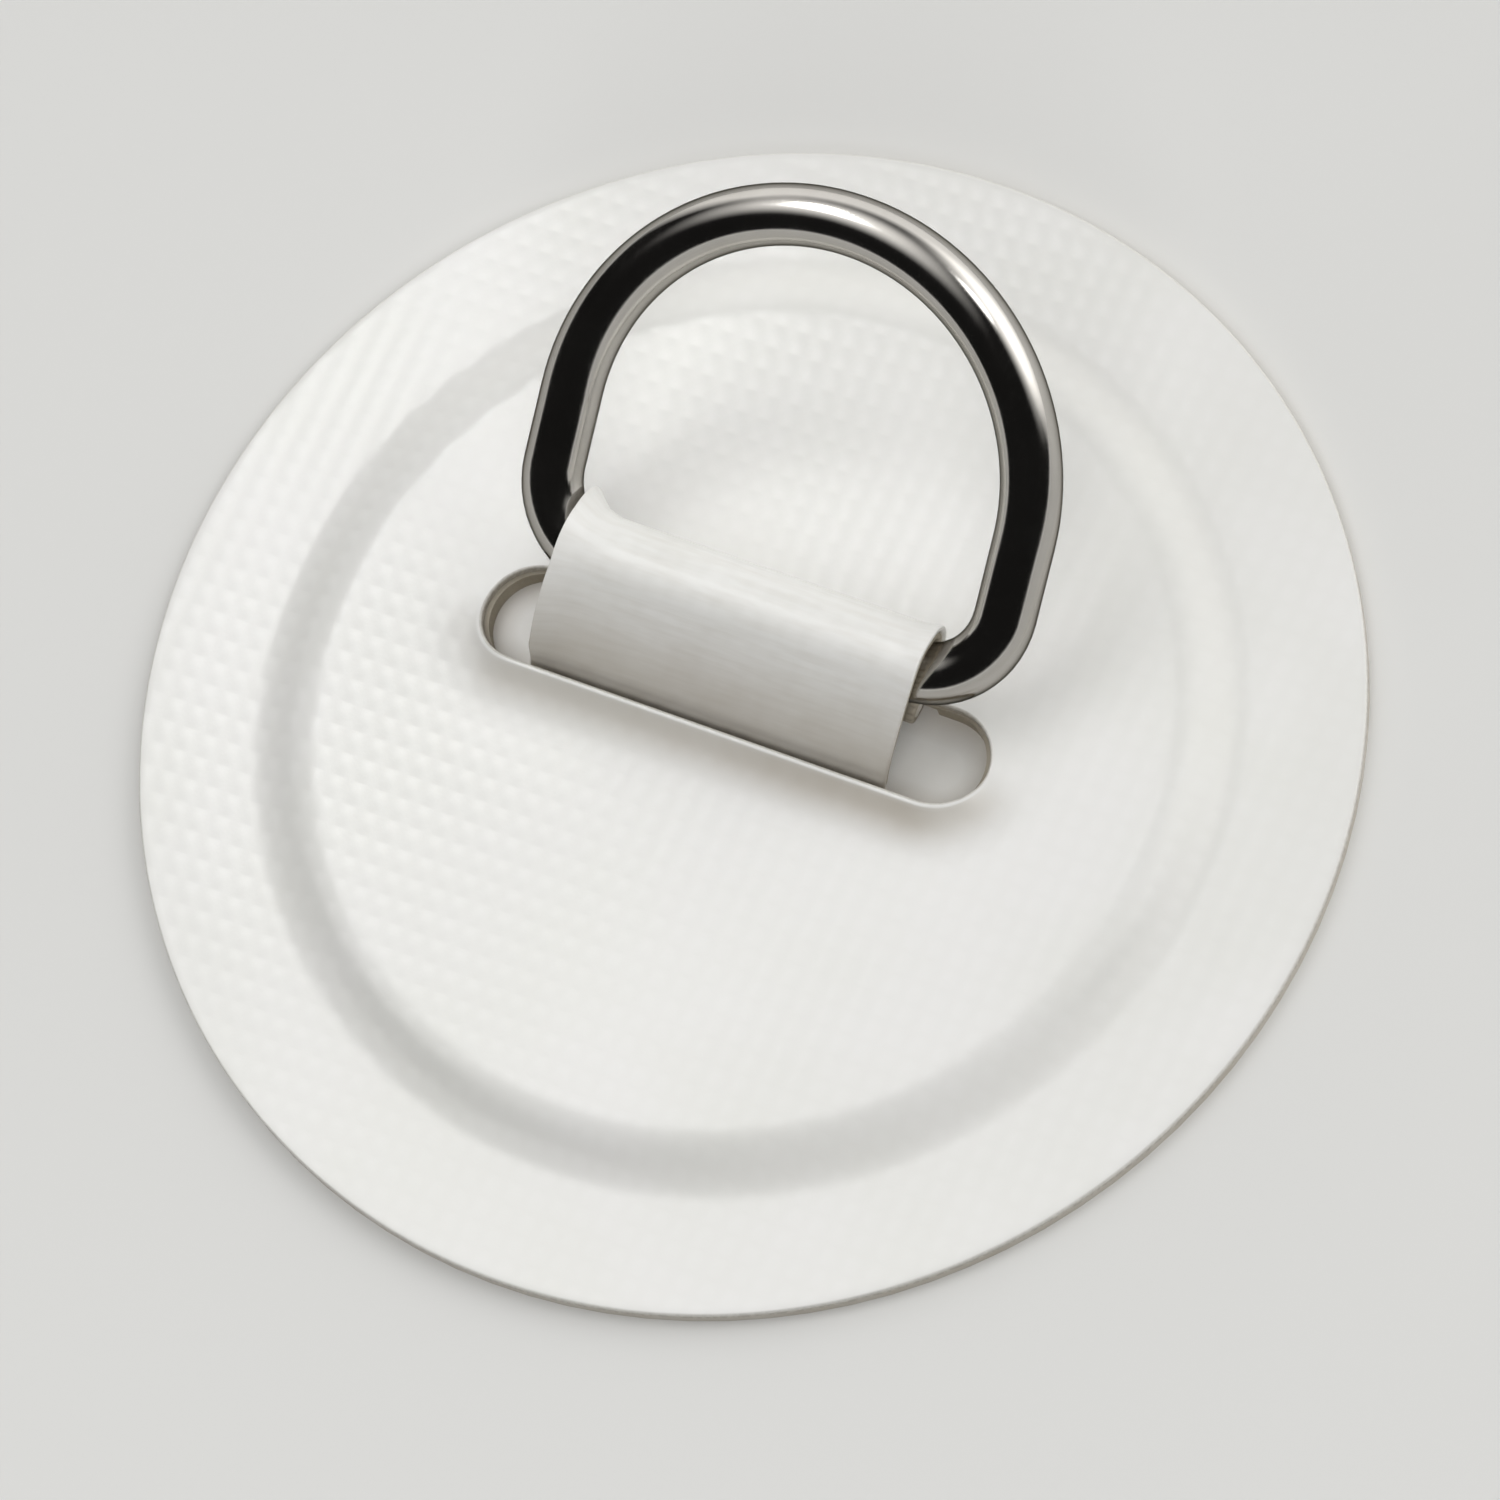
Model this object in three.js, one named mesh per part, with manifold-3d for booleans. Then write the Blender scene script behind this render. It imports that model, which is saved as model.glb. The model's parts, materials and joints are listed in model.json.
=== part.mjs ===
// Glue-on D-ring pad for an inflatable boat. Two round plies of coated fabric hold a reinforcing disc
// and the tails of a two-ply strap between them. The strap comes up through a slot in the top ply,
// goes round the straight bar of a round-rod D-ring, and goes down through the slot again.
//
// Millimetres. The origin is the centre of the pad's underside, where it is glued to the boat.
// +X runs along the ring's bar, +Y points to the side the ring lies back to, and +Z is up.

import * as THREE from "three";
import { mergeVertices } from "three/addons/utils/BufferGeometryUtils.js";
import Module from "manifold-3d";

const wasm = await Module();
wasm.setup();

// ---- Driving dimensions -------------------------------------------------------------------------

// the pad's plies
const padRadius = 60;
const basePly = 0.8;
const coverPly = 0.8;
const glueLine = 0.05;

// the reinforcing disc, which gives the pad its raised middle
const discRadius = 42.5;
const discPlate = 0.6;      // its thickness over the strap's tails
const discRim = 2.2;        // the least width of disc left outside the tails
const slopeWidth = 5;       // how far the top ply takes to come down from the disc to the base ply

// the strap
const strapWidth = 38.1;
const webbingPly = 0.6;
const facingPly = 0.6;
const strapBond = 0.12;     // the glue between the strap's plies, thicker where they bend
const strapX = -2.2;

// the slot that the strap comes up through
const slotMargin = 7.7;     // open slot beyond each edge of the strap
const slotWidth = 10.5;
const slotX = -1.9;
const slotY = 2.25;
const ledgeEnd = 0.5;       // the disc shows this far inside the top ply's slot, at its ends
const ledgeSide = 0.2;      // and along its sides

// the ring
const rodRadius = 3;
const ringPlay = 3.9;       // the ring's inside width, less the strap's width
const ringInsideHeight = 34;
const ringInsideCorner = 4;
const ringShift = 1.2;      // how far the ring has slid along the strap from its middle
const ringLean = 33.5;      // degrees that the ring stands above the pad
const barOverhang = 0.45;   // the bar's axis lies this far behind the slot's rear edge

// fits
const barClearance = 0.35;  // between the bar and the strap round it
const tailClearance = 0.3;  // between the strap's tails and the channel in the disc
const lipClearance = 0.2;   // between the disc's slot edge and the centre of the strap's front bend
const loopSlack = 0.5;      // height left between the loop's underside and the fold at the rear edge
const frontBendRadius = 0.5;
const rearFoldRadius = 1.05;

// ---- Worked-out sizes ---------------------------------------------------------------------------

const baseTop = basePly;
const tailBottom = baseTop + glueLine;
const strapThickness = webbingPly + strapBond + facingPly;
const channelTop = tailBottom + strapThickness + glueLine;
const discTop = channelTop + discPlate;
const coverBottom = discTop + glueLine;
const coverTop = coverBottom + coverPly;
const rimBottom = baseTop + glueLine;

const slotLength = strapWidth + 2 * slotMargin;
const discSlotLength = slotLength - 2 * ledgeEnd;
const discSlotWidth = slotWidth - 2 * ledgeSide;
const discSlotFront = slotY - discSlotWidth / 2;
const discSlotRear = slotY + discSlotWidth / 2;

const tailSide = Math.abs(strapX) + strapWidth / 2;
const tailReach = Math.sqrt((discRadius - discRim) ** 2 - tailSide ** 2);

const loopRadius = rodRadius + barClearance;
const rearFoldZ = tailBottom + strapThickness + rearFoldRadius;
const barY = slotY + slotWidth / 2 + barOverhang;
const barZ = rearFoldZ + rearFoldRadius + loopSlack + loopRadius + strapThickness;

const ringInsideWidth = strapWidth + ringPlay;
const ringHalfWidth = ringInsideWidth / 2 + rodRadius;
const ringHeight = ringInsideHeight + 2 * rodRadius;
const ringCorner = ringInsideCorner + rodRadius;
const ringX = strapX + ringShift;

// ---- Solids -------------------------------------------------------------------------------------

const roundSteps = 96;

/** Merge a geometry's shared corners, so that it is one closed body. */
function welded(geometry) {
  geometry.deleteAttribute("normal");
  geometry.deleteAttribute("uv");
  return mergeVertices(geometry, 1e-5);
}

function toSolid(geometry) {
  const merged = welded(geometry);
  return new wasm.Manifold(new wasm.Mesh({
    numProp: 3,
    vertProperties: new Float32Array(merged.attributes.position.array),
    triVerts: new Uint32Array(merged.index.array),
  }));
}

function fromSolid(solid) {
  const mesh = solid.getMesh();
  const geometry = new THREE.BufferGeometry();
  geometry.setAttribute("position", new THREE.BufferAttribute(mesh.vertProperties, 3));
  geometry.setIndex(new THREE.BufferAttribute(mesh.triVerts, 1));
  return geometry;
}

/** An upright prism with a THREE.Shape as its plan, from one height to another. */
function prism(shape, bottom, top, curveSegments) {
  const geometry = new THREE.ExtrudeGeometry(shape, {
    depth: top - bottom,
    bevelEnabled: false,
    curveSegments,
  });
  return geometry.translate(0, 0, bottom);
}

/** A round-ended slot along X. */
function slotShape(length, width) {
  const radius = width / 2;
  const reach = length / 2 - radius;
  const shape = new THREE.Shape();
  shape.moveTo(slotX - reach, slotY - radius);
  shape.lineTo(slotX + reach, slotY - radius);
  shape.absarc(slotX + reach, slotY, radius, -Math.PI / 2, Math.PI / 2, false);
  shape.lineTo(slotX - reach, slotY + radius);
  shape.absarc(slotX - reach, slotY, radius, Math.PI / 2, Math.PI * 1.5, false);
  return shape;
}

/** A body of revolution about +Z from a closed profile of [radius, height] points. */
function turned(profile) {
  const points = profile.map(([radius, height]) => new THREE.Vector2(radius, height));
  return new THREE.LatheGeometry(points, roundSteps).rotateX(Math.PI / 2);
}

function basePatch() {
  return turned([[0, 0], [padRadius, 0], [padRadius, basePly], [0, basePly]]);
}

/** The disc is moulded down round the strap's tails, so it has a channel for them underneath. */
function reinforcingDisc() {
  const disc = toSolid(turned([[0, rimBottom], [discRadius, rimBottom], [discRadius, discTop], [0, discTop]]));
  const channelSide = strapWidth / 2 + tailClearance;
  const channelReach = tailReach + tailClearance;
  const channelPlan = new THREE.Shape([
    new THREE.Vector2(strapX - channelSide, -channelReach),
    new THREE.Vector2(strapX + channelSide, -channelReach),
    new THREE.Vector2(strapX + channelSide, channelReach),
    new THREE.Vector2(strapX - channelSide, channelReach),
  ]);
  const channel = toSolid(prism(channelPlan, 0, channelTop, 1));
  const slot = toSolid(prism(slotShape(discSlotLength, discSlotWidth), 0, 2 * coverTop, 12));
  return fromSolid(disc.subtract(channel).subtract(slot));
}

/** The top ply lies on the disc, comes down over its edge and lies on the base ply outside it. */
function coverPatch() {
  const slopeSteps = 6;
  const top = [];
  for (let i = 0; i <= slopeSteps; i += 1) {
    const share = i / slopeSteps;
    const drop = (1 - Math.cos(Math.PI * share)) / 2;
    const height = THREE.MathUtils.lerp(coverBottom, rimBottom, drop);
    top.push([discRadius + slopeWidth * share, height + coverPly]);
  }
  top.push([padRadius, rimBottom + coverPly]);
  const underside = top.map(([radius, height]) => [radius, height - coverPly]);
  const profile = [[0, coverBottom], ...underside, ...top.reverse(), [0, coverTop]];
  const ply = toSolid(turned(profile));
  const slot = toSolid(prism(slotShape(slotLength, slotWidth), 0, 2 * coverTop, 12));
  return fromSolid(ply.subtract(slot));
}

// ---- The strap ----------------------------------------------------------------------------------

const bar = new THREE.Vector2(barY, barZ);
const frontBend = new THREE.Vector2(discSlotFront + lipClearance, channelTop - glueLine + frontBendRadius);
const rearFold = new THREE.Vector2(discSlotRear, rearFoldZ);
const frontBendReach = frontBendRadius + strapThickness;
const rearFoldReach = rearFoldRadius + strapThickness;

const outward = (heading) => new THREE.Vector2(-Math.sin(heading), Math.cos(heading));

/** Points round a bend. The strap's outer side faces the bend's centre where side is -1. */
function bendPoints(centre, radius, side, from, to, steps, flareAt) {
  const points = [];
  for (let i = 0; i <= steps; i += 1) {
    const heading = THREE.MathUtils.lerp(from, to, i / steps);
    const normal = outward(heading);
    const place = centre.clone().addScaledVector(normal, side * radius);
    points.push({ place, normal, flare: flareAt(heading) });
  }
  return points;
}

/**
 * The inner face of the strap, seen along X, from the front tail's end round the bar to the rear
 * tail's end. Each point has its outward normal, and how much of the flare it takes at the edges.
 */
function strapPath() {
  const toBar = bar.clone().sub(frontBend);
  const rise = toBar.angle() + Math.asin((frontBendReach + loopRadius) / toBar.length());
  const toFold = rearFold.clone().sub(bar);
  const foldAngle = Math.atan2(toFold.y, toFold.x);
  const fall = foldAngle - Math.asin((rearFoldReach + loopRadius) / toFold.length());
  const flat = outward(0);

  const front = bendPoints(frontBend, frontBendReach, -1, 0, rise, 4, () => 0);
  // the flare fades below the bar on the rear side, where the ring never reaches
  const fullFlareTo = THREE.MathUtils.degToRad(-105);
  const noFlareFrom = THREE.MathUtils.degToRad(-165);
  const round = bendPoints(bar, loopRadius, 1, rise, fall, 18,
    (heading) => THREE.MathUtils.smoothstep(heading, noFlareFrom, fullFlareTo));
  const rear = bendPoints(rearFold, rearFoldReach, -1, fall, 0, 10, () => 0);

  const climb = [];
  const climbSteps = 5;
  const foot = front[front.length - 1];
  const head = round[0];
  for (let i = 1; i < climbSteps; i += 1) {
    const share = i / climbSteps;
    climb.push({
      place: foot.place.clone().lerp(head.place, share),
      normal: foot.normal,
      flare: THREE.MathUtils.smoothstep(share, 0, 1),
    });
  }
  return [
    { place: new THREE.Vector2(-tailReach, tailBottom), normal: flat, flare: 0 },
    ...front,
    ...climb,
    ...round,
    ...rear,
    { place: new THREE.Vector2(tailReach, tailBottom), normal: flat, flare: 0 },
  ];
}

/** How far the ring reaches from the bar's axis, this far along the bar from the ring's middle. */
function ringReach(along) {
  const past = Math.max(0, along - (ringHalfWidth - ringCorner));
  const inside = Math.max(0, ringInsideCorner ** 2 - past ** 2);
  return ringCorner - Math.sqrt(inside);
}

/** One ply of the strap, between two distances out from the strap's inner face. */
function strapPly(inner, outer) {
  const path = strapPath();
  const half = strapWidth / 2;
  const straight = ringHalfWidth - ringCorner - Math.abs(ringShift);
  const flareSteps = 5;
  const stations = [];
  for (let i = 0; i <= flareSteps; i += 1) {
    stations.push(THREE.MathUtils.lerp(-half, -straight, i / flareSteps));
  }
  stations.push(...stations.map((x) => -x).reverse());

  const corners = [];
  for (const x of stations) {
    const spread = ringReach(Math.abs(x) + Math.abs(ringShift)) - rodRadius;
    const row = (distance) => path.map(({ place, normal, flare }) => {
      const point = place.clone().addScaledVector(normal, distance + spread * flare);
      return [strapX + x, point.x, point.y];
    });
    corners.push([...row(outer), ...row(inner).reverse()]);
  }

  const around = corners[0].length;
  const index = [];
  for (let i = 0; i + 1 < corners.length; i += 1) {
    for (let j = 0; j < around; j += 1) {
      const next = (j + 1) % around;
      const a = i * around + j;
      const b = i * around + next;
      const c = (i + 1) * around + next;
      const d = (i + 1) * around + j;
      index.push(a, c, b, a, d, c);
    }
  }
  const last = (corners.length - 1) * around;
  for (let j = 0; j + 1 < path.length; j += 1) {
    const across = around - 1 - j;
    index.push(j, across - 1, across, j, j + 1, across - 1);
    index.push(last + j, last + across, last + across - 1, last + j, last + across - 1, last + j + 1);
  }
  const geometry = new THREE.BufferGeometry();
  geometry.setAttribute("position", new THREE.Float32BufferAttribute(corners.flat(2), 3));
  geometry.setIndex(index);
  return geometry;
}

// ---- The ring -----------------------------------------------------------------------------------

/** The centre line of the rod, with the bar's middle at the origin and the crown along +Y. */
function ringLine() {
  const line = new THREE.Path();
  const armTop = Math.max(ringCorner, ringHeight - ringHalfWidth);
  line.moveTo(0, 0);
  line.lineTo(ringHalfWidth - ringCorner, 0);
  line.absarc(ringHalfWidth - ringCorner, ringCorner, ringCorner, -Math.PI / 2, 0, false);
  line.lineTo(ringHalfWidth, armTop);
  line.absarc(0, armTop, ringHalfWidth, 0, Math.PI, false);
  line.lineTo(-ringHalfWidth, ringCorner);
  line.absarc(ringCorner - ringHalfWidth, ringCorner, ringCorner, Math.PI, Math.PI * 1.5, false);
  line.lineTo(0, 0);
  return line;
}

/** A closed round rod along the ring's centre line, made by bending a torus to it. */
function dRing() {
  const sides = 16;
  const steps = 84;
  const line = ringLine();
  const geometry = new THREE.TorusGeometry(2, 1, sides, steps);
  const position = geometry.attributes.position;
  for (let j = 0; j <= sides; j += 1) {
    const turn = (j / sides) * Math.PI * 2;
    for (let i = 0; i <= steps; i += 1) {
      const share = (i % steps) / steps;
      const place = line.getPointAt(share);
      const tangent = line.getTangentAt(share);
      const out = rodRadius * Math.cos(turn);
      position.setXYZ(
        j * (steps + 1) + i,
        place.x + tangent.y * out,
        place.y - tangent.x * out,
        rodRadius * Math.sin(turn),
      );
    }
  }
  return welded(geometry);
}

// ---- Assembly -----------------------------------------------------------------------------------

const coatedWhite = { color: 0xe9e8e4, roughness: 0.42, metalness: 0 };
const webbingWhite = { color: 0xd8d2c4, roughness: 0.8, metalness: 0 };
const polishedSteel = { color: 0xc9c9cc, roughness: 0.12, metalness: 1 };

const pad = new THREE.Group();

function addPart(name, geometry, finish, parent = pad) {
  const mesh = new THREE.Mesh(geometry, new THREE.MeshStandardMaterial(finish));
  mesh.name = name;
  parent.add(mesh);
  return mesh;
}

addPart("base_patch", basePatch(), coatedWhite);
addPart("reinforcing_disc", reinforcingDisc(), coatedWhite);
addPart("cover_patch", coverPatch(), coatedWhite);
addPart("strap_webbing", strapPly(0, webbingPly), webbingWhite);
addPart("strap_facing", strapPly(webbingPly + strapBond, strapThickness), coatedWhite);

// the group turns about the bar, so the ring's lean is one rotation
const ringGroup = new THREE.Group();
ringGroup.position.set(ringX, barY, barZ);
ringGroup.rotation.x = THREE.MathUtils.degToRad(ringLean);
pad.add(ringGroup);
addPart("d_ring", dRing(), polishedSteel, ringGroup);

export default pad;
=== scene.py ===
import json
import math

import bmesh
import bpy
from mathutils import Matrix, Vector


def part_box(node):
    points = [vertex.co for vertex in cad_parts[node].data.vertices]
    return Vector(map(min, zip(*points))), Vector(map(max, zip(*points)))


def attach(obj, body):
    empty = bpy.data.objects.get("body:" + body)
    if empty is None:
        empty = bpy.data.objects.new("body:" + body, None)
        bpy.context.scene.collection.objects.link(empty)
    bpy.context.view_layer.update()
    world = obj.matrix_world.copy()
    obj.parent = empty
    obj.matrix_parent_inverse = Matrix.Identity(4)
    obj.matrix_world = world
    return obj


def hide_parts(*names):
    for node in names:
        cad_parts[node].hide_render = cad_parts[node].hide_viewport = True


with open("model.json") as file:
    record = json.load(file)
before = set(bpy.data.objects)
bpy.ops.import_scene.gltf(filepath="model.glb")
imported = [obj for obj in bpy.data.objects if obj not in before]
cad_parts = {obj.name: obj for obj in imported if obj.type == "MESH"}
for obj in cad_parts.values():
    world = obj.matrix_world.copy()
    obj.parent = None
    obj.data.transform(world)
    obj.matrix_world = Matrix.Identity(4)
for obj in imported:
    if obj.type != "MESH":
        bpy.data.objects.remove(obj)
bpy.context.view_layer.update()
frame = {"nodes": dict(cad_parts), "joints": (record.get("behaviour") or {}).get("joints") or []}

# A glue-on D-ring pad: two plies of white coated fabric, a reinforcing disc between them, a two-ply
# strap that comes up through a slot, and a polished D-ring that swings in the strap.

MM = 0.001

# ---- Places and sizes taken from the frame ------------------------------------------------------

swing = next(joint for joint in frame["joints"] if joint["name"] == "ring_swing")
BAR = Vector(swing["pos_m"])                      # the bar's axis, at the ring's middle
DISC_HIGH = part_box("reinforcing_disc")[1]
COVER_LOW, COVER_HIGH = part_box("cover_patch")
STRAP_LOW, STRAP_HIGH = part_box("strap_facing")
WEBBING_LOW, WEBBING_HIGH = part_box("strap_webbing")
RING_LOW, RING_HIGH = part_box("d_ring")

PAD_RADIUS = COVER_HIGH.x
DISC_RADIUS = DISC_HIGH.x
STRAP_WIDTH = STRAP_HIGH.x - STRAP_LOW.x
STRAP_X = (STRAP_HIGH.x + STRAP_LOW.x) / 2
TAIL_REACH = WEBBING_HIGH.y
TAIL_BOTTOM = WEBBING_LOW.z
RIM_BOTTOM = COVER_LOW.z
COVER_TOP = COVER_HIGH.z

# ---- Sizes that the boxes don't hold, as the part has them --------------------------------------

COVER_PLY = 0.8 * MM
SLOPE_WIDTH = 5 * MM
SLOT_LENGTH = 53.5 * MM
SLOT_WIDTH = 10.5 * MM
SLOT = Vector((-1.9 * MM, 2.25 * MM, 0))
DISC_SLOT_WIDTH = SLOT_WIDTH - 0.4 * MM
WEBBING_PLY = 0.6 * MM
FACING_PLY = 0.6 * MM
STRAP_BOND = 0.12 * MM
ROD_RADIUS = 3 * MM
BAR_CLEARANCE = 0.35 * MM
RING_LEAN = math.radians(33.5)
FRONT_BEND = 0.5 * MM
REAR_FOLD = 1.05 * MM
FRONT_BEND_CLEARANCE = 0.2 * MM

SLOT_RADIUS = SLOT_WIDTH / 2
SLOT_REACH = SLOT_LENGTH / 2 - SLOT_RADIUS        # from the slot's middle to the centre of each end
STRAP_THICKNESS = WEBBING_PLY + STRAP_BOND + FACING_PLY
RING_HALF_WIDTH = (RING_HIGH.x - RING_LOW.x) / 2 - ROD_RADIUS

# ---- How the real pieces depart from that, as worn and pulled -----------------------------------

RING_CORNER = 8 * MM                              # to the rod's centre line
RING_HEIGHT = 39.4 * MM                           # from the bar to the crown, centre to centre
RING_SLIDE = 0.5 * MM                             # how far the ring has been pulled along its bar
WELD_WIDTH = 1.2 * MM
WELD_HEIGHT = 0.12 * MM

LOOP_SHIFT = 1.0 * MM                             # the ring draws the loop to one side,
LOOP_PULL = 2.3 * MM                              # this far from where its foot is glued
FOOT_HEADING = math.radians(80)                   # how steeply the strap leaves the slot
ROLL_HEADING = math.radians(38)                   # and how steeply it meets the bar
CLIMB_FULLNESS = 0.9                              # how far the strap bows out between the two
WEBBING_INSET = 0.15 * MM                         # the webbing is this much narrower at each edge

LIP_HEIGHT = 1.15 * MM                            # the slot's front edge is lifted into a lip
LIP_CREST = 0.50 * MM
LIP_FALL = 1.5 * MM
LIP_LEAN = 0.4 * MM
DIP_DEPTH = 0.12 * MM                             # with a shallow dip in front of it
DIP_AT = 5.2 * MM
DIP_SPREAD = 2.0 * MM

SLOPE_LEAD_IN = 0.6 * MM                          # the slope starts this far inside the disc's edge
SLOPE_RUN_OUT = 1.9 * MM                          # and is this much longer than the stiff one
CUT_ROUNDING = 0.22 * MM                          # the cut edges are slightly rounded
HAND_WAVE = 0.07 * MM                             # cloth glued by hand is never quite flat
CREASES = (
    # heading in degrees and its half spread, then radius, width and height in mm
    (-12, 9, 44.4, 0.75, 0.16),
    (-13, 10, 46.0, 0.8, -0.10),
    (-118, 24, 43.9, 0.7, 0.09),
    (-108, 30, 45.9, 0.8, -0.08),
    (-160, 16, 44.6, 0.9, 0.07),
)

# ---- Camera and light sizes ---------------------------------------------------------------------

CAMERA_AZIMUTH = math.radians(50.5)               # from the front towards the right
CAMERA_ELEVATION = math.radians(65.0)
CAMERA_ROLL = math.radians(-28.3)
CAMERA_DISTANCE = 1.074
CAMERA_TARGET = Vector((2 * MM, -2.9 * MM, 3 * MM))
CAMERA_LENS = 270

SOFTBOXES = (
    # name, azimuth, elevation, distance, width, power, lights the cloth, shows in reflections
    ("fill_softbox", -60, 51, 1.4, 1.0, 6.3, True, False),
    ("left_fill_softbox", -155, 48, 1.4, 1.1, 2.3, True, False),
    ("rear_fill_softbox", 100, 55, 1.4, 1.0, 1.1, True, False),
    ("crown_softbox", 165, 66, 1.3, 0.40, 1.2, False, True),
    ("shoulder_softbox", 46, 60, 1.3, 0.34, 0.75, False, True),
    ("glare_softbox", 143, 60, 0.45, 0.06, 0.20, False, True),
)
GLOWS = (
    # azimuth, elevation, angle at which it has faded out, radiance
    (165, 68, 38, 1.45),
    (46, 34, 40, 2.0),
)
GLOW_CORE = 4                                     # degrees, as bright as the glow gets
ROOM_COLOUR = (1.0, 0.995, 0.98, 1)
ROOM_DARK = 0.012


# ---- Camera --------------------------------------------------------------------------------------

def make_camera():
    """Looks down on the pad from its front right, rolled as a hand-held camera is."""
    back = Vector((
        math.sin(CAMERA_AZIMUTH) * math.cos(CAMERA_ELEVATION),
        -math.cos(CAMERA_AZIMUTH) * math.cos(CAMERA_ELEVATION),
        math.sin(CAMERA_ELEVATION),
    ))
    camera = bpy.data.objects.new("camera", bpy.data.cameras.new("camera"))
    turn = back.to_track_quat("Z", "Y").to_matrix().to_4x4() @ Matrix.Rotation(CAMERA_ROLL, 4, "Z")
    camera.matrix_world = Matrix.Translation(CAMERA_TARGET + back * CAMERA_DISTANCE) @ turn
    camera.data.lens = CAMERA_LENS
    camera.data.clip_end = 20
    bpy.context.scene.collection.objects.link(camera)
    bpy.context.scene.camera = camera


# ---- Shader maths -------------------------------------------------------------------------------

class Value:
    """A number that varies over a surface. Arithmetic on it adds Math nodes."""

    def __init__(self, finish, socket):
        self.finish = finish
        self.socket = socket

    def maths(self, operation, *numbers):
        node = self.finish.node("ShaderNodeMath", {"operation": operation}, dict(enumerate(numbers)))
        return Value(self.finish, node.outputs[0])

    def __add__(self, other):
        return self.maths("ADD", self, other)

    def __sub__(self, other):
        return self.maths("SUBTRACT", self, other)

    def __mul__(self, other):
        return self.maths("MULTIPLY", self, other)

    def __pow__(self, other):
        return self.maths("POWER", self, other)

    def __abs__(self):
        return self.maths("ABSOLUTE", self)

    def sine(self):
        return self.maths("SINE", self)

    def at_least(self, other):
        return self.maths("MAXIMUM", self, other)


class Shading:
    """A node tree that is built up from expressions."""

    def __init__(self, tree):
        self.tree = tree

    def node(self, kind, settings=None, inputs=None):
        """A node of that type: settings first, then each input's value or link."""
        node = self.tree.nodes.new(kind)
        for name, value in (settings or {}).items():
            setattr(node, name, value)
        for name, value in (inputs or {}).items():
            self.feed(node.inputs[name], value)
        return node

    def feed(self, socket, value):
        if isinstance(value, Value):
            self.tree.links.new(value.socket, socket)
        elif isinstance(value, bpy.types.NodeSocket):
            self.tree.links.new(value, socket)
        else:
            socket.default_value = value

    def object_place(self):
        return self.node("ShaderNodeTexCoord").outputs["Object"]

    def attribute(self, name, output="Fac"):
        return self.node("ShaderNodeAttribute", {"attribute_name": name}).outputs[output]

    def stretched(self, place, scale):
        return self.node("ShaderNodeMapping", None, {"Vector": place, "Scale": scale}).outputs[0]

    def split(self, place):
        parts = self.node("ShaderNodeSeparateXYZ", None, {0: place})
        return [Value(self, socket) for socket in parts.outputs]

    def noise(self, place, size, detail=2.0, roughness=0.5):
        """Smooth noise from 0 to 1, with blotches of about this size in metres."""
        node = self.node("ShaderNodeTexNoise", None, {
            "Vector": place, "Scale": 1 / size, "Detail": detail, "Roughness": roughness,
        })
        return Value(self, node.outputs[0])

    def spread(self, value, low, high, to_low=0.0, to_high=1.0):
        """The value mapped from one range to another, held at the ends."""
        node = self.node("ShaderNodeMapRange", {"clamp": True}, {
            "Value": value, "From Min": low, "From Max": high, "To Min": to_low, "To Max": to_high,
        })
        return Value(self, node.outputs[0])

    def mix(self, share, first, second):
        """One colour over another."""
        node = self.node("ShaderNodeMix", {"data_type": "RGBA"}, {0: share, 6: first, 7: second})
        return node.outputs[2]

    def bump(self, height, depth, strength=1.0, below=None):
        inputs = {"Height": height, "Distance": depth, "Strength": strength}
        if below is not None:
            inputs["Normal"] = below
        return self.node("ShaderNodeBump", None, inputs).outputs[0]


class Finish(Shading):
    """One procedural material, with its shader's constants set on the shader's own sockets."""

    def __init__(self, name, **constants):
        self.material = bpy.data.materials.new(name)
        self.material.use_nodes = True
        super().__init__(self.material.node_tree)
        self.shader = self.tree.nodes["Principled BSDF"]
        for socket, value in constants.items():
            self.shader.inputs[socket.replace("_", " ")].default_value = value

    def set(self, **values):
        """Feed the shader's own sockets with what varies over the surface."""
        for socket, value in values.items():
            self.feed(self.shader.inputs[socket.replace("_", " ")], value)


def rgba(red, green, blue):
    return (red, green, blue, 1)


# ---- Light ----------------------------------------------------------------------------------------

def direction(azimuth, elevation):
    """A unit vector. Azimuth runs from +X towards +Y, elevation from the floor up, in degrees."""
    turn, rise = math.radians(azimuth), math.radians(elevation)
    return Vector((math.cos(turn) * math.cos(rise), math.sin(turn) * math.cos(rise), math.sin(rise)))


def add_softbox(name, azimuth, elevation, distance, width, power, lights_cloth, in_reflections):
    """A round area light that faces the pad from one direction."""
    towards = direction(azimuth, elevation)
    light = bpy.data.lights.new(name, "AREA")
    light.shape = "DISK"
    light.size = width
    light.energy = power
    light.use_shadow = lights_cloth
    holder = bpy.data.objects.new(name, light)
    turn = towards.to_track_quat("Z", "Y").to_matrix().to_4x4()
    holder.matrix_world = Matrix.Translation(towards * distance) @ turn
    holder.visible_diffuse = lights_cloth
    holder.visible_glossy = in_reflections
    bpy.context.scene.collection.objects.link(holder)


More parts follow.
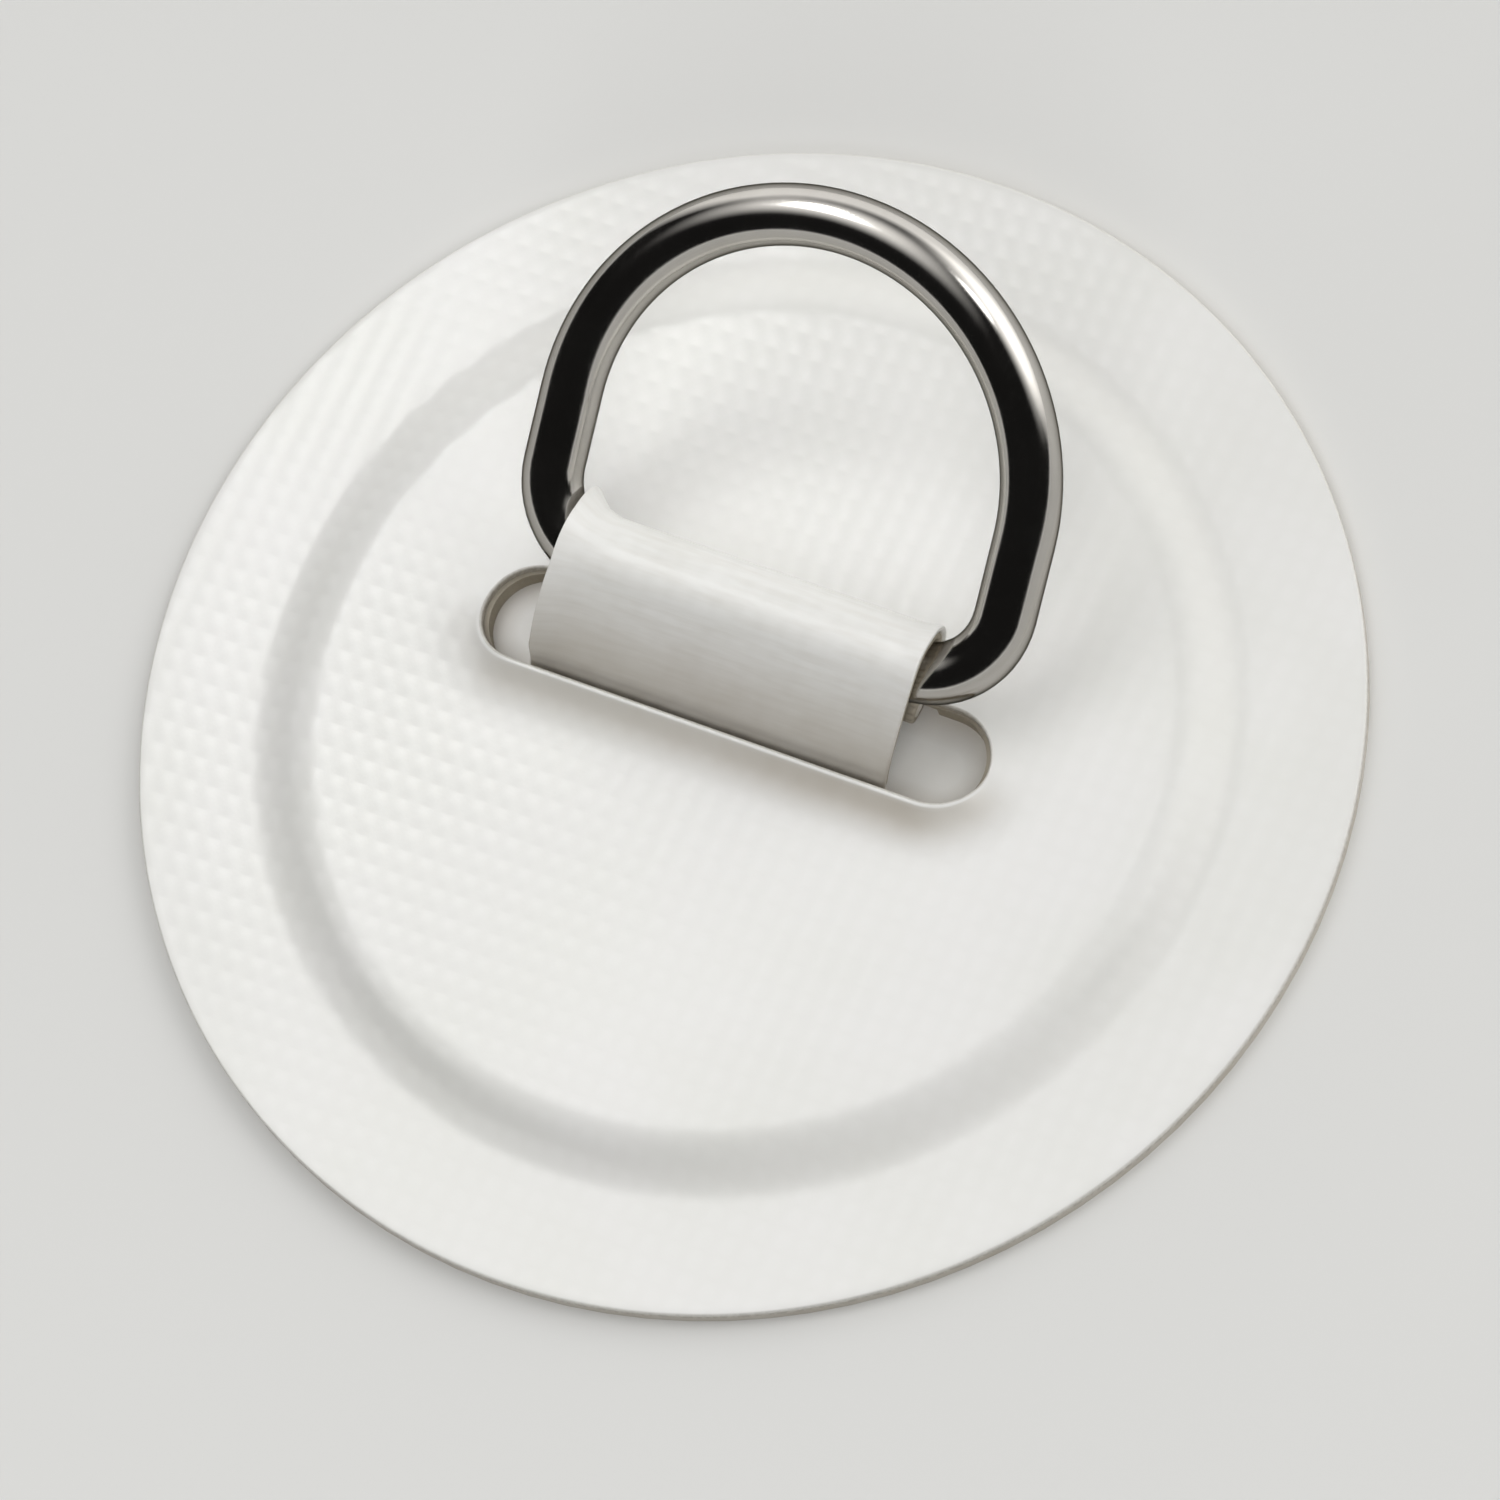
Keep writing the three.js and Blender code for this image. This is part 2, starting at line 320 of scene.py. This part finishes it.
def light_the_studio():
    """A room that is bright low down at the back, dark in front, with soft glows above."""
    world = bpy.data.worlds.new("studio")
    bpy.context.scene.world = world
    world.use_nodes = True
    room = Shading(world.node_tree)
    x, y, z = room.split(room.node("ShaderNodeTexCoord").outputs["Generated"])

    behind = room.spread(y - abs(x) * 0.2, 0.05, 0.35)
    low = room.spread(z, 0.50, 0.72, 1.0, 0.12)
    horizon = room.spread(z, 0.03, 0.10, 0.8, 0.0)
    glow = (behind * low * 1.2).at_least(horizon) + ROOM_DARK
    for azimuth, elevation, fade, radiance in GLOWS:
        aim = direction(azimuth, elevation)
        near = x * aim.x + y * aim.y + z * aim.z
        inside = room.spread(near, math.cos(math.radians(fade)), math.cos(math.radians(GLOW_CORE)))
        glow = glow + inside * inside * radiance

    background = world.node_tree.nodes["Background"]
    background.inputs["Color"].default_value = ROOM_COLOUR
    room.feed(background.inputs["Strength"], glow)
    for softbox in SOFTBOXES:
        add_softbox(*softbox)
    bpy.context.scene.view_settings.view_transform = "Standard"


# ---- Materials ----------------------------------------------------------------------------------

WEAVE = 2.4 * MM          # from one raised crossing of the cloth's threads to the next
# painted shade and dirt: a warm dark mixed in below the slot's lifted edge, in the foot of the slope,
# at the strap's foot and against the slot's walls
SHADE_AND_DIRT = rgba(0.43, 0.375, 0.295)
GREYED = rgba(0.66, 0.64, 0.58)
THREAD_GAP = rgba(0.62, 0.61, 0.57)
RUBBED = rgba(0.60, 0.56, 0.49)
CLOTH_CORE = (rgba(0.36, 0.32, 0.26), rgba(0.52, 0.48, 0.41))


def woven(finish, place, pitch, along=1.5, across=2.2):
    """Height of a cloth's raised crossings, from 0 in the gaps to 1 on top. Longer along Y."""
    x, y, _ = finish.split(place)
    ridges = abs((x * (math.pi / pitch)).sine()) ** across
    crossings = abs((y * (math.pi / pitch)).sine()) ** along
    return ridges * crossings


# the share of painted shade and dirt stored on the cover's and the strap's points
def attribute_shade_dirt(finish):
    return Value(finish, finish.attribute("shade_dirt_share"))


def slot_painted_shade(finish):
    """Painted shade on the bottom of the slot, darkest against its walls."""
    x, y, _ = finish.split(finish.object_place())
    along = (abs(x - SLOT.x) - SLOT_REACH).at_least(0.0)
    across = y - SLOT.y
    off = (along * along + across * across) ** 0.5
    return finish.spread(off, 0.2 * SLOT_WIDTH, 0.52 * SLOT_WIDTH, 0.14, 0.80)


def coated_fabric(name, place_of, tone, weave_depth, gloss, shade_dirt_of=attribute_shade_dirt, cut_edges=True,
                  streaks=0.0):
    """White coating over basket cloth, with painted shade and dirt mixed in where its mask says. The
    cut edges show the cloth's darker core.
    """
    finish = Finish(name, Specular_IOR_Level=0.5, Coat_Roughness=0.3, IOR=1.5)
    place = place_of(finish)
    weave = woven(finish, place, WEAVE)
    blotch = finish.noise(place, 22 * MM, 3.0)
    grime = finish.noise(place, 6 * MM, 2.0)
    dull = rgba(tone, tone, tone - 0.03)
    clean = rgba(tone + 0.04, tone + 0.035, tone + 0.02)
    white = finish.mix(finish.spread(blotch, 0.35, 0.7), dull, clean)
    white = finish.mix(finish.spread(weave, 0.0, 0.5, 0.04, 0.0), white, THREAD_GAP)
    white = finish.mix(finish.spread(grime, 0.50, 0.90, 0.0, 0.05), white, GREYED)
    if streaks:
        rubbed = finish.noise(finish.stretched(place, (0.10, 1.0, 1.0)), 0.6 * MM, 3.0)
        white = finish.mix(finish.spread(rubbed, 0.40, 0.72, 0.0, streaks), white, RUBBED)
    # painted shade and dirt over the white, broken up a little by the grime noise
    shade_dirt_share = shade_dirt_of(finish) * finish.spread(grime, 0.3, 0.7, 0.8, 1.0)
    white = finish.mix(shade_dirt_share, white, SHADE_AND_DIRT)
    if cut_edges:
        cut = Value(finish, finish.attribute("cut_edge"))
        threads = finish.noise(place, 0.5 * MM, 2.0)
        core = finish.mix(finish.spread(threads, 0.4, 0.6), *CLOTH_CORE)
        white = finish.mix(cut * 0.8, white, core)
    # the coating is thinner on one side, where the threads show through more
    x, y, _ = finish.split(place)
    thin = finish.spread(y * 0.45 - x + blotch * (16 * MM), -12 * MM, 34 * MM, 0.45, 1.0)
    fine = finish.bump(finish.noise(place, 0.35 * MM, 2.0), 0.008 * MM, 0.4)
    finish.set(
        Base_Color=white,
        Roughness=finish.spread(blotch, 0.25, 0.75, gloss, gloss + 0.06),
        Coat_Weight=finish.spread(blotch, 0.3, 0.7, 0.06, 0.10),
        Normal=finish.bump(weave * thin, weave_depth, 1.0, fine),
    )
    return finish.material


def polyester_webbing():
    """The strap's inner ply: unbleached cloth, ribbed across."""
    finish = Finish("polyester_webbing", Specular_IOR_Level=0.25)
    place = finish.attribute("run", "Vector")
    weave = woven(finish, place, 0.9 * MM, 1.0, 1.0)
    tone = finish.noise(place, 3 * MM, 3.0)
    cloth = finish.mix(finish.spread(tone, 0.3, 0.7), rgba(0.50, 0.45, 0.36), rgba(0.66, 0.61, 0.51))
    cloth = finish.mix(finish.spread(weave, 0.0, 0.6, 0.5, 0.0), cloth, rgba(0.30, 0.26, 0.20))
    finish.set(
        Base_Color=cloth,
        Roughness=finish.spread(tone, 0.3, 0.7, 0.7, 0.9),
        Normal=finish.bump(weave, 0.12 * MM),
    )
    return finish.material


def stiff_plastic():
    """The disc's sheet: a hard plastic with a sanded face, its grey-brown made darker as painted
    shade for the walls at the slot's ends.
    """
    finish = Finish("stiff_plastic", Specular_IOR_Level=0.4)
    place = finish.object_place()
    tone = finish.spread(finish.noise(place, 4 * MM, 3.0), 0.3, 0.7)
    sanding = finish.noise(place, 0.3 * MM, 2.0)
    finish.set(
        Base_Color=finish.mix(tone, rgba(0.35, 0.305, 0.235), rgba(0.45, 0.405, 0.32)),
        Roughness=finish.spread(sanding, 0.3, 0.7, 0.45, 0.6),
        Normal=finish.bump(sanding, 0.02 * MM),
    )
    return finish.material


def polished_steel():
    """Mirror-polished stainless rod, with faint handling marks."""
    finish = Finish("polished_steel", Metallic=1.0, Specular_Tint=rgba(0.10, 0.10, 0.09))
    place = finish.object_place()
    haze = finish.noise(place, 9 * MM, 4.0, 0.6)
    marks = finish.noise(finish.stretched(place, (1.0, 0.15, 0.15)), 0.25 * MM, 2.0)
    dulled = finish.spread(marks, 0.55, 0.8, 0.0, 0.05)
    steel = finish.mix(finish.spread(haze, 0.3, 0.7), rgba(0.50, 0.48, 0.45), rgba(0.57, 0.55, 0.52))
    finish.set(
        Base_Color=steel,
        Roughness=finish.spread(haze, 0.35, 0.75, 0.10, 0.16) + dulled,
        Normal=finish.bump(marks, 0.002 * MM, 0.4),
    )
    return finish.material


def pale_floor():
    finish = Finish("pale_floor", Specular_IOR_Level=0.3)
    tone = finish.noise(finish.object_place(), 60 * MM, 3.0)
    finish.set(
        Base_Color=finish.mix(tone, rgba(0.74, 0.74, 0.725), rgba(0.77, 0.77, 0.755)),
        Roughness=finish.spread(tone, 0.3, 0.7, 0.5, 0.6),
    )
    return finish.material


# ---- Making pieces ------------------------------------------------------------------------------

def finished(name, bm, material, smooth_angle=40):
    """The piece's object, at the origin, with its place in its mesh."""
    mesh = bpy.data.meshes.new(name)
    bmesh.ops.recalc_face_normals(bm, faces=bm.faces)
    bm.to_mesh(mesh)
    bm.free()
    mesh.materials.append(material)
    mesh.polygons.foreach_set("use_smooth", [True] * len(mesh.polygons))
    mesh.set_sharp_from_angle(angle=math.radians(smooth_angle))
    piece = bpy.data.objects.new(name, mesh)
    bpy.context.scene.collection.objects.link(piece)
    return piece


def wrapped_grid(columns, rows, place):
    """A grid bent to a surface. place turns a column and a row number into a point and its finish."""
    bm = bmesh.new()
    bmesh.ops.create_grid(bm, x_segments=columns, y_segments=rows, size=0.5)
    cut_edge = bm.verts.layers.float.new("cut_edge")
    # each point's share of painted shade and dirt
    shade_dirt_share = bm.verts.layers.float.new("shade_dirt_share")
    run = bm.verts.layers.float_vector.new("run")
    for vert in bm.verts:
        column = round((vert.co.x + 0.5) * columns)
        row = round((vert.co.y + 0.5) * rows)
        vert.co, vert[cut_edge], vert[shade_dirt_share], vert[run] = place(column, row)
    bmesh.ops.remove_doubles(bm, verts=bm.verts, dist=0.001 * MM)
    return bm


def ease(share):
    share = min(1.0, max(0.0, share))
    return share * share * (3 - 2 * share)


def bell(distance, width):
    return math.exp(-(distance / width) ** 2)


def make_floor(material):
    bm = bmesh.new()
    bmesh.ops.create_grid(bm, x_segments=2, y_segments=2, size=4)
    finished("floor", bm, material)


def give_finish(node, material):
    frame["nodes"][node].data.materials.clear()
    frame["nodes"][node].data.materials.append(material)


# ---- The cover ----------------------------------------------------------------------------------

COVER_COLUMNS = 288
SLOT_BAND = 6.0 * MM              # rows follow the slot this far out,
DISC_BAND = 2.0 * MM              # and the disc's edge from this far inside it
SLOPE_ROWS = 21


def slot_point(share, spread):
    """A point that far outside the slot's outline. share runs once round it, from its right end."""
    arc = math.pi * SLOT_RADIUS
    straight = 2 * SLOT_REACH
    out = SLOT_RADIUS + spread

    def end(middle, angle):
        return SLOT + Vector((middle + out * math.cos(angle), out * math.sin(angle), 0))

    once_round = 2 * (arc + straight)
    at = ((share % 1.0) * once_round + arc / 2) % once_round
    if at <= arc:
        return end(SLOT_REACH, at / SLOT_RADIUS - math.pi / 2)
    at -= arc
    if at <= straight:
        return SLOT + Vector((SLOT_REACH - at, out, 0))
    at -= straight
    if at <= arc:
        return end(-SLOT_REACH, at / SLOT_RADIUS + math.pi / 2)
    return SLOT + Vector((at - arc - SLOT_REACH, -out, 0))


def slot_front(x, y):
    """How far a place is off the slot's edge, and its share in the lift of the slot's front edge."""
    along = max(-SLOT_REACH, min(SLOT_REACH, x - SLOT.x))
    off = math.hypot(x - SLOT.x - along, y - SLOT.y) - SLOT_RADIUS
    end_loss = (0.35 if x > SLOT.x else 0.6) * ease((abs(x - SLOT.x) - SLOT_REACH) / SLOT_RADIUS)
    ahead = ease((SLOT.y - y) / SLOT_RADIUS + 0.15) * (1 - end_loss)
    return max(0.0, off), ahead


def lip_share(off):
    """The lifted edge's section: a narrow crest, then a soft fall to the flat."""
    return math.exp(-max(0.0, off - LIP_CREST) / LIP_FALL)


def cover_shade_dirt(point, off, ahead):
    """Painted shade and dirt below the lifted edge, more to the right, and painted shade in the foot
    of the slope.
    """
    to_right = ease((point.x - SLOT.x + SLOT_LENGTH / 2) / SLOT_LENGTH)
    starts = ease((off - 0.46 * MM) / (0.2 * MM))
    fades = bell(max(0.0, off - 1.3 * MM), 2.2 * MM)
    below_lip = (0.44 + 0.26 * to_right) * ahead * starts * fades
    radius = math.hypot(point.x, point.y)
    return below_lip + 0.04 * bell(radius - DISC_RADIUS - 0.75 * SLOPE_WIDTH, 2.2 * MM)


def creases(x, y):
    """Small folds where the cloth was pressed down round the disc."""
    radius = math.hypot(x, y) / MM
    heading = math.degrees(math.atan2(y, x))
    height = 0.0
    for middle, half_spread, at, width, rise in CREASES:
        height += rise * bell(heading - middle, half_spread) * bell(radius - at, width)
    return height * MM


def hand_wave(x, y):
    crossed = math.sin(x / (7.9 * MM) + 0.6) * math.sin(y / (9.3 * MM) - 0.4)
    return HAND_WAVE * (crossed + 0.6 * math.sin((x + 0.6 * y) / (11.2 * MM) + 1.9))


def cover_height(x, y):
    """The top of the cover: a flat middle, a soft slope down to the rim, and a lip at the slot."""
    radius = math.hypot(x, y)
    off, ahead = slot_front(x, y)
    down = ease((radius - DISC_RADIUS + SLOPE_LEAD_IN) / (SLOPE_WIDTH + SLOPE_RUN_OUT))
    height = COVER_TOP - (COVER_TOP - RIM_BOTTOM - COVER_PLY) * down
    height += ahead * (LIP_HEIGHT * lip_share(off) - DIP_DEPTH * bell(off - DIP_AT, DIP_SPREAD))
    height += creases(x, y)
    settled = ease((off - 1.0 * MM) / (6 * MM)) * ease((PAD_RADIUS - radius) / (6 * MM))
    return height + hand_wave(x, y) * settled


def cover_rows():
    """The cover's section, from the foot of the slot's wall over the top, and back underneath.

    Each row says what it follows, how far out it lies, its depth below the top and its cut edge.
    """
    turns = [math.radians(angle) for angle in (0, 22.5, 45, 67.5, 90)]
    slope_start = DISC_RADIUS - DISC_BAND
    slope_end = DISC_RADIUS + SLOPE_WIDTH + 1.5 * MM
    slope_step = (slope_end - slope_start) / (SLOPE_ROWS - 1)
    edge = CUT_ROUNDING

    rows = [("slot", 0.0, COVER_PLY, 1.0), ("slot", 0.0, 0.5 * MM, 1.0)]
    for turn in turns:
        inwards, below = edge * (1 - math.cos(turn)), edge * (1 - math.sin(turn))
        rows.append(("slot", inwards, below, 1.0 - 0.5 * math.sin(turn)))
    for out in (0.3, 0.42, 0.5, 0.6, 0.8, 1.1, 1.5, 2.0, 2.6, 3.3, 4.1, 5.0, 6.0):
        rows.append(("slot", out * MM, 0.0, 0.0))
    for share in (0.15, 0.3, 0.45, 0.6, 0.75, 0.88):
        rows.append(("between", share, 0.0, 0.0))
    for step in range(SLOPE_ROWS):
        rows.append(("round", slope_start + slope_step * step, 0.0, 0.0))
    for inside in (9, 7, 5, 3, 1.6, 0.8):
        rows.append(("round", PAD_RADIUS - inside * MM, 0.0, 0.0))
    for turn in turns:
        inwards, below = edge * (1 - math.sin(turn)), edge * (1 - math.cos(turn))
        rows.append(("round", PAD_RADIUS - inwards, below, 0.5 * math.sin(turn)))
    rows += [("round", PAD_RADIUS, 0.5 * MM, 1.0), ("round", PAD_RADIUS, COVER_PLY, 1.0)]
    rows += [("round", PAD_RADIUS - 6 * MM, COVER_PLY, 0.0), ("round", slope_end, COVER_PLY, 0.0)]
    for out in (SLOPE_WIDTH, 3 * MM, 1 * MM, -1 * MM, -DISC_BAND):
        rows.append(("round", DISC_RADIUS + out, COVER_PLY, 0.0))
    rows.append(("between", 0.5, COVER_PLY, 0.0))
    rows += [("slot", 5 * MM, COVER_PLY, 0.0), ("slot", 2 * MM, COVER_PLY, 0.0)]
    return rows


def make_cover(material):
    """The round top ply, with its slot, laid down over the disc."""
    rows = cover_rows()
    inner = DISC_RADIUS - DISC_BAND

    def place(column, row):
        share = (column % COVER_COLUMNS) / COVER_COLUMNS
        follows, size, depth, cut = rows[row % len(rows)]
        angle = 2 * math.pi * share
        outwards = Vector((math.cos(angle), math.sin(angle), 0))
        if follows == "slot":
            point = slot_point(share, size)
        elif follows == "round":
            point = outwards * size
        else:
            point = slot_point(share, SLOT_BAND).lerp(outwards * inner, size)
        point.z = cover_height(point.x, point.y) - depth
        off, ahead = slot_front(point.x, point.y)
        point.y += LIP_LEAN * ahead * lip_share(off) ** 2
        # painted shade and dirt on the cover's top face only, not on its cut edges or underside
        shade_dirt_share = 0.0 if cut or depth else cover_shade_dirt(point, off, ahead)
        return point, cut, shade_dirt_share, (point.x, point.y, 0)

    piece = finished("cover_patch_cloth", wrapped_grid(COVER_COLUMNS, len(rows), place), material)
    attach(piece, "pad")
    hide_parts("cover_patch")


# ---- The strap ----------------------------------------------------------------------------------

TAIL_STEPS = 12
FRONT_BEND_STEPS = 10
CLIMB_STEPS = 20
ROLL_STEPS = 60
REAR_FOLD_STEPS = 26
LANES = 22                # across the strap's face
EDGE_STEPS = 6            # round each of its edges


def onward(heading):
    return Vector((math.cos(heading), math.sin(heading)))


def outward(heading):
    return Vector((-math.sin(heading), math.cos(heading)))


def tail(start, end, steps):
    """Points along a tail, with its own start and without its end."""
    return [(Vector((start + (end - start) * step / TAIL_STEPS, TAIL_BOTTOM)), outward(0), 0.0)
            for step in steps]


def bend(centre, radius, start, end, steps, flare_at=lambda heading: 0.0):
    """Points round a bend. A negative radius turns the strap the other way."""
    points = []
    for step in range(steps + 1):
        heading = start + (end - start) * step / steps
        normal = outward(heading)
        points.append((centre + normal * radius, normal, flare_at(heading)))
    return points


def climb(foot, head):
    """Points up the strap's front, from the end of its front bend to where it meets the bar."""
    pull = CLIMB_FULLNESS * (head - foot).length
    foot_pull = onward(FOOT_HEADING) * pull
    head_pull = onward(ROLL_HEADING) * pull
    points = []
    for step in range(1, CLIMB_STEPS):
        t = step / CLIMB_STEPS
        point = (
            foot * (2 * t ** 3 - 3 * t ** 2 + 1) + foot_pull * (t ** 3 - 2 * t ** 2 + t)
            + head * (3 * t ** 2 - 2 * t ** 3) + head_pull * (t ** 3 - t ** 2)
        )
        way = (
            (head - foot) * (6 * t - 6 * t ** 2)
            + foot_pull * (3 * t ** 2 - 4 * t + 1) + head_pull * (3 * t ** 2 - 2 * t)
        )
        points.append((point, outward(math.atan2(way.y, way.x)), ease(t)))
    return points


def strap_path():
    """The strap's inner face seen along X: (point, outward normal, flare) from tail to tail."""
    bar = Vector((BAR.y, BAR.z))
    fold_top = TAIL_BOTTOM + STRAP_THICKNESS
    front_edge = SLOT.y - DISC_SLOT_WIDTH / 2
    rear_edge = SLOT.y + DISC_SLOT_WIDTH / 2
    front = Vector((front_edge + FRONT_BEND_CLEARANCE, fold_top + FRONT_BEND))
    rear = Vector((rear_edge, fold_top + REAR_FOLD))
    rear_reach = REAR_FOLD + STRAP_THICKNESS
    loop = ROD_RADIUS + BAR_CLEARANCE

    to_rear = rear - bar
    fall = math.atan2(to_rear.y, to_rear.x) - math.asin((rear_reach + loop) / to_rear.length)

    points = tail(-TAIL_REACH, front.x, range(TAIL_STEPS))
    points += bend(front, -(FRONT_BEND + STRAP_THICKNESS), 0, FOOT_HEADING, FRONT_BEND_STEPS)
    points += climb(points[-1][0], bar + outward(ROLL_HEADING) * loop)
    points += bend(bar, loop, ROLL_HEADING, fall, ROLL_STEPS,
                   lambda heading: ease((math.degrees(heading) + 165) / 60))
    points += bend(rear, -rear_reach, fall, 0, REAR_FOLD_STEPS)
    points += tail(rear.x, TAIL_REACH, range(1, TAIL_STEPS + 1))
    return points


def ring_reach(along_bar):
    """How far the ring reaches from the bar's axis, this far along the bar from its middle."""
    inside = RING_CORNER - ROD_RADIUS
    past = max(0.0, along_bar - (RING_HALF_WIDTH - RING_CORNER))
    return RING_CORNER - math.sqrt(max(0.0, inside ** 2 - past ** 2))


def band_section(half, inner, outer):
    """A band's section: (place across, height above the strap's inner face), once round."""
    edge = (outer - inner) / 2
    face = half - edge
    middle = inner + edge
    section = []
    for side, level in ((1, outer), (-1, inner)):
        for lane in range(LANES + 1):
            section.append((side * face * (2 * lane / LANES - 1), level))
        for step in range(1, EDGE_STEPS):
            turn = math.pi * step / EDGE_STEPS
            bulge = face + edge * math.sin(turn)
            section.append((side * bulge, middle + side * edge * math.cos(turn)))
    return section


def make_strap_ply(name, node, material, inner, outer, edge_tone, inset=0.0):
    """One ply of the strap, a band with soft edges, spread at its sides by the ring's corners."""
    path = strap_path()
    half = STRAP_WIDTH / 2 - inset
    section = band_section(half, inner, outer)
    cut_from = half - 0.25 * (outer - inner)
    loop_top = BAR.z + ROD_RADIUS
    lengths = [0.0]
    for here, there in zip(path, path[1:]):
        lengths.append(lengths[-1] + (there[0] - here[0]).length)

    def place(column, row):
        x, out = section[column % len(section)]
        point, normal, flare = path[row]
        climbed = min(1.0, (point.y - TAIL_BOTTOM) / (loop_top - TAIL_BOTTOM))
        place_x = STRAP_X + x + LOOP_SHIFT - LOOP_PULL * (1 - climbed)
        spread = ring_reach(abs(place_x - BAR.x - RING_SLIDE)) - ROD_RADIUS
        spot = point + normal * (out + spread * flare)
        cut = edge_tone if abs(x) > cut_from else 0.0
        in_front = point.x < BAR.y
        # painted shade: the strap's front is darker towards its foot at the slot, fading out up the
        # climb
        shade_dirt_share = 0.62 * (1 - ease((point.y - COVER_TOP - 1.5 * MM) / (8.6 * MM))) if in_front else 0.0
        return Vector((place_x, spot.x, spot.y)), cut, shade_dirt_share, (x, lengths[row], 0)

    bm = wrapped_grid(len(section), len(path) - 1, place)
    bmesh.ops.holes_fill(bm, edges=[edge for edge in bm.edges if edge.is_boundary], sides=0)
    piece = finished(name, bm, material)
    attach(piece, "pad")
    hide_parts(node)


# ---- The ring -----------------------------------------------------------------------------------

ROD_SIDES = 40
CORNER_STEPS = 14
CROWN_STEPS = 72
BAR_STEPS = 6             # along each half of the bar
ARM_STEPS = 3


def run_rod(bm, edges, step, times):
    """The open end of the rod drawn out straight."""
    for _ in range(times):
        made = bmesh.ops.extrude_edge_only(bm, edges=edges)["geom"]
        moved = [item for item in made if isinstance(item, bmesh.types.BMVert)]
        bmesh.ops.translate(bm, verts=moved, vec=Vector(step) / times)
        edges = [item for item in made if isinstance(item, bmesh.types.BMEdge)
                 and all(vert in moved for vert in item.verts)]
    return edges


def turn_rod(bm, edges, centre, angle, steps):
    """The open end of the rod drawn round a centre."""
    made = bmesh.ops.spin(bm, geom=edges, cent=centre, axis=(0, 0, 1), angle=angle, steps=steps)
    return [item for item in made["geom_last"] if isinstance(item, bmesh.types.BMEdge)]


def raise_weld(bm):
    """The butt weld stands a little proud in the middle of the bar."""
    for vert in bm.verts:
        if vert.co.y < ROD_RADIUS + 0.5 * MM and abs(vert.co.x) < WELD_WIDTH:
            swell = 1 + WELD_HEIGHT / ROD_RADIUS * (1 - abs(vert.co.x) / WELD_WIDTH)
            vert.co.y *= swell
            vert.co.z *= swell


def make_ring(material):
    """A round rod run along the bar, turned at the corners and the crown, and closed at the weld."""
    bm = bmesh.new()
    start = bmesh.ops.create_circle(bm, segments=ROD_SIDES, radius=ROD_RADIUS)
    facing_x = Matrix.Rotation(math.pi / 2, 3, "Y")
    bmesh.ops.rotate(bm, verts=start["verts"], cent=(0, 0, 0), matrix=facing_x)
    straight = RING_HALF_WIDTH - RING_CORNER
    arm_top = RING_HEIGHT - RING_HALF_WIDTH
    arm = arm_top - RING_CORNER
    quarter = math.pi / 2

    edges = run_rod(bm, list(bm.edges), (straight, 0, 0), BAR_STEPS)
    edges = turn_rod(bm, edges, (straight, RING_CORNER, 0), quarter, CORNER_STEPS)
    edges = run_rod(bm, edges, (0, arm, 0), ARM_STEPS)
    edges = turn_rod(bm, edges, (0, arm_top, 0), math.pi, CROWN_STEPS)
    edges = run_rod(bm, edges, (0, -arm, 0), ARM_STEPS)
    edges = turn_rod(bm, edges, (-straight, RING_CORNER, 0), quarter, CORNER_STEPS)
    run_rod(bm, edges, (straight, 0, 0), BAR_STEPS)
    bmesh.ops.remove_doubles(bm, verts=bm.verts, dist=0.01 * MM)
    raise_weld(bm)

    leaning = Matrix.Rotation(RING_LEAN, 4, "X")
    in_loop = Matrix.Translation(BAR + Vector((RING_SLIDE, 0, 0)))
    bmesh.ops.transform(bm, matrix=in_loop @ leaning, verts=bm.verts)
    piece = finished("d_ring_rod", bm, material, 60)
    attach(piece, "ring")
    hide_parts("d_ring")


# ---- Assembly -----------------------------------------------------------------------------------

def strap_run(finish):
    return finish.attribute("run", "Vector")


make_camera()
light_the_studio()
make_floor(pale_floor())

pad_cloth = coated_fabric("coated_cloth", Finish.object_place, 0.79, 0.034 * MM, 0.285)
# the base's inner cloth gets painted shade against the slot's walls
inner_cloth = coated_fabric("coated_cloth_inner", Finish.object_place, 0.82, 0.03 * MM, 0.35,
                            shade_dirt_of=slot_painted_shade, cut_edges=False)
strap_cloth = coated_fabric("coated_strap_cloth", strap_run, 0.91, 0.045 * MM, 0.36, streaks=0.20)

make_cover(pad_cloth)
make_strap_ply("strap_webbing_band", "strap_webbing", polyester_webbing(),
               0.0, WEBBING_PLY, 1.0, WEBBING_INSET)
make_strap_ply("strap_facing_band", "strap_facing", strap_cloth,
               WEBBING_PLY + STRAP_BOND, STRAP_THICKNESS, 0.15)
make_ring(polished_steel())
give_finish("base_patch", inner_cloth)
give_finish("reinforcing_disc", stiff_plastic())
